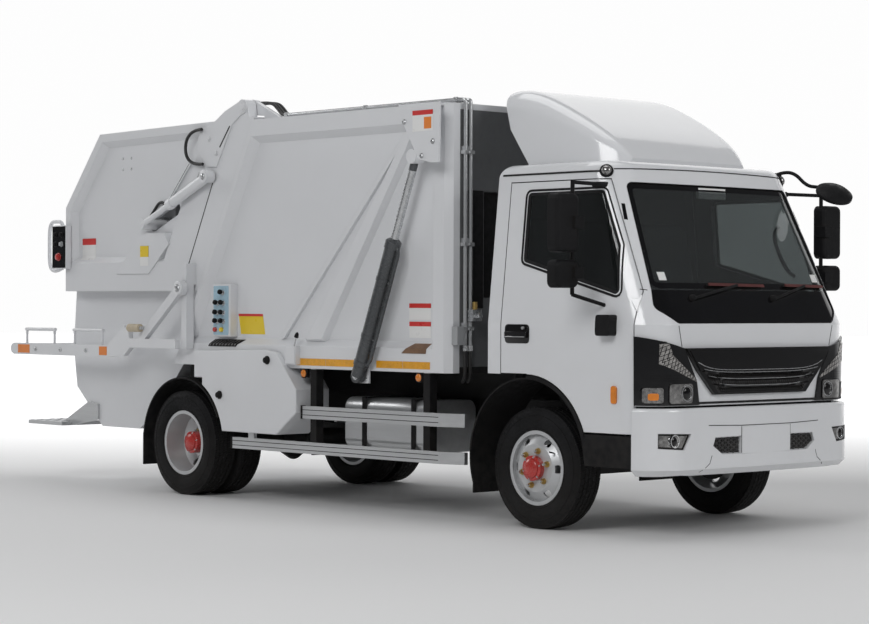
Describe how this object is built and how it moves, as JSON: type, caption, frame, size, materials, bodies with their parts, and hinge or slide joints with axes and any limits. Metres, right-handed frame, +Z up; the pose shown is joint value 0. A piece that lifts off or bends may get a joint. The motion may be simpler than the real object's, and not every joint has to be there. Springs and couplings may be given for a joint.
{
  "type": "rear-loading garbage truck",
  "caption": "Small cab-over refuse truck with a ribbed steel body, hinged rear tailgate with loading hopper, packer blade and rear bin lift, on twin rear wheels.",
  "frame": {"origin": "bottom centre of the bounding box, on the ground between the axles", "axes": "+X forward, +Y to the vehicle's left, +Z up"},
  "size_m": [6.8199, 2.74, 2.875],
  "materials": {
    "cab_paint": "gloss white paint",
    "body_paint": "semi-gloss white paint",
    "chassis_paint": "satin black paint",
    "ram_paint": "dark grey paint",
    "black_plastic": "grained black plastic",
    "gloss_black": "gloss black plastic",
    "lamp_plastic": "clear lens over a dark housing",
    "red_lens": "red lens",
    "glass": "tinted safety glass",
    "tyre": "black tyre rubber",
    "rim_paint": "silver paint",
    "aluminium": "satin aluminium",
    "steel": "bare steel",
    "blue_panel": "light blue paint",
    "fabric": "dark woven seat cloth"
  },
  "bodies": {
    "chassis": {"body_floor": "chassis_paint", "body_front": "body_paint", "body_roof": "body_paint", "body_sides": "body_paint", "bumper": "cab_paint", "cab_shell": "cab_paint", "control_panel": "blue_panel", "cowl": "gloss_black", "dashboard": "black_plastic", "engine_block": "chassis_paint", "frame": "chassis_paint", "front_axle": "chassis_paint", "fuel_tank": "aluminium", "grille": "gloss_black", "headlamps": "lamp_plastic", "mudguards": "black_plastic", "pipes": "steel", "ram_covers": "body_paint", "rams": "ram_paint", "rear_axle": "chassis_paint", "roof_fairing": "cab_paint", "seats": "fabric", "side_guards": "aluminium", "side_lockers": "body_paint", "springs": "chassis_paint", "tow_eyes": "chassis_paint", "wheel_arches": "black_plastic", "windscreen": "glass"},
    "door_right": {"door_right": "cab_paint", "door_glass_right": "glass", "mirror_right": "black_plastic"},
    "door_left": {"door_left": "cab_paint", "door_glass_left": "glass", "mirror_left": "black_plastic"},
    "knuckle_right": {"knuckle_right": "chassis_paint"},
    "knuckle_left": {"knuckle_left": "chassis_paint"},
    "wheel_front_right": {"tyre_front_right": "tyre", "rim_front_right": "rim_paint"},
    "wheel_front_left": {"tyre_front_left": "tyre", "rim_front_left": "rim_paint"},
    "wheel_rear_right": {"tyre_rear_right": "tyre", "rim_rear_right": "rim_paint"},
    "wheel_rear_left": {"tyre_rear_left": "tyre", "rim_rear_left": "rim_paint"},
    "tailgate": {"tailgate_sides": "body_paint", "tailgate_roof": "body_paint", "hopper": "body_paint", "packer_barrels": "body_paint", "control_box": "gloss_black", "rear_lamps": "red_lens", "rear_steps": "aluminium", "lift_posts": "body_paint"},
    "carriage": {"carriage": "ram_paint"},
    "blade": {"blade": "steel"},
    "lifter": {"lifter": "body_paint"}
  },
  "joints": [
    {"name": "steer_right", "type": "hinge", "parent": "chassis", "child": "knuckle_right", "pos_m": [2.32, -0.7, 0.3835], "axis": [0, 0, 1], "range_deg": [-35, 35]},
    {"name": "roll_front_right", "type": "hinge", "parent": "knuckle_right", "child": "wheel_front_right", "pos_m": [2.32, -0.83, 0.3835], "axis": [0, 1, 0], "continuous": true},
    {"name": "roll_rear_right", "type": "hinge", "parent": "chassis", "child": "wheel_rear_right", "pos_m": [-1.23, -0.8175, 0.3835], "axis": [0, 1, 0], "continuous": true},
    {"name": "open_door_right", "type": "hinge", "parent": "chassis", "child": "door_right", "pos_m": [3.18, -0.985, 1.4], "axis": [0, 0, 1], "range_deg": [0, 70]},
    {"name": "steer_left", "type": "hinge", "parent": "chassis", "child": "knuckle_left", "pos_m": [2.32, 0.7, 0.3835], "axis": [0, 0, 1], "range_deg": [-35, 35]},
    {"name": "roll_front_left", "type": "hinge", "parent": "knuckle_left", "child": "wheel_front_left", "pos_m": [2.32, 0.83, 0.3835], "axis": [0, 1, 0], "continuous": true},
    {"name": "roll_rear_left", "type": "hinge", "parent": "chassis", "child": "wheel_rear_left", "pos_m": [-1.23, 0.8175, 0.3835], "axis": [0, 1, 0], "continuous": true},
    {"name": "open_door_left", "type": "hinge", "parent": "chassis", "child": "door_left", "pos_m": [3.18, 0.985, 1.4], "axis": [0, 0, -1], "range_deg": [0, 70]},
    {"name": "raise_tailgate", "type": "hinge", "parent": "chassis", "child": "tailgate", "pos_m": [-0.58, 0, 2.82], "axis": [0, 1, 0], "range_deg": [0, 85]},
    {"name": "raise_lift", "type": "hinge", "parent": "tailgate", "child": "lifter", "pos_m": [-1.16, 0, 1.52], "axis": [0, 1, 0], "range_deg": [0, 80]},
    {"name": "slide_carriage", "type": "slide", "parent": "tailgate", "child": "carriage", "axis": [0.9245, 0, 0.3811], "range_m": [0, 0.3]},
    {"name": "swing_blade", "type": "hinge", "parent": "carriage", "child": "blade", "pos_m": [-1.73, 0, 2], "axis": [0, 1, 0], "range_deg": [-12, 50]}
  ],
  "couplings": [
    {"joint": "steer_left", "follows": "steer_right", "ratio": 1}
  ]
}
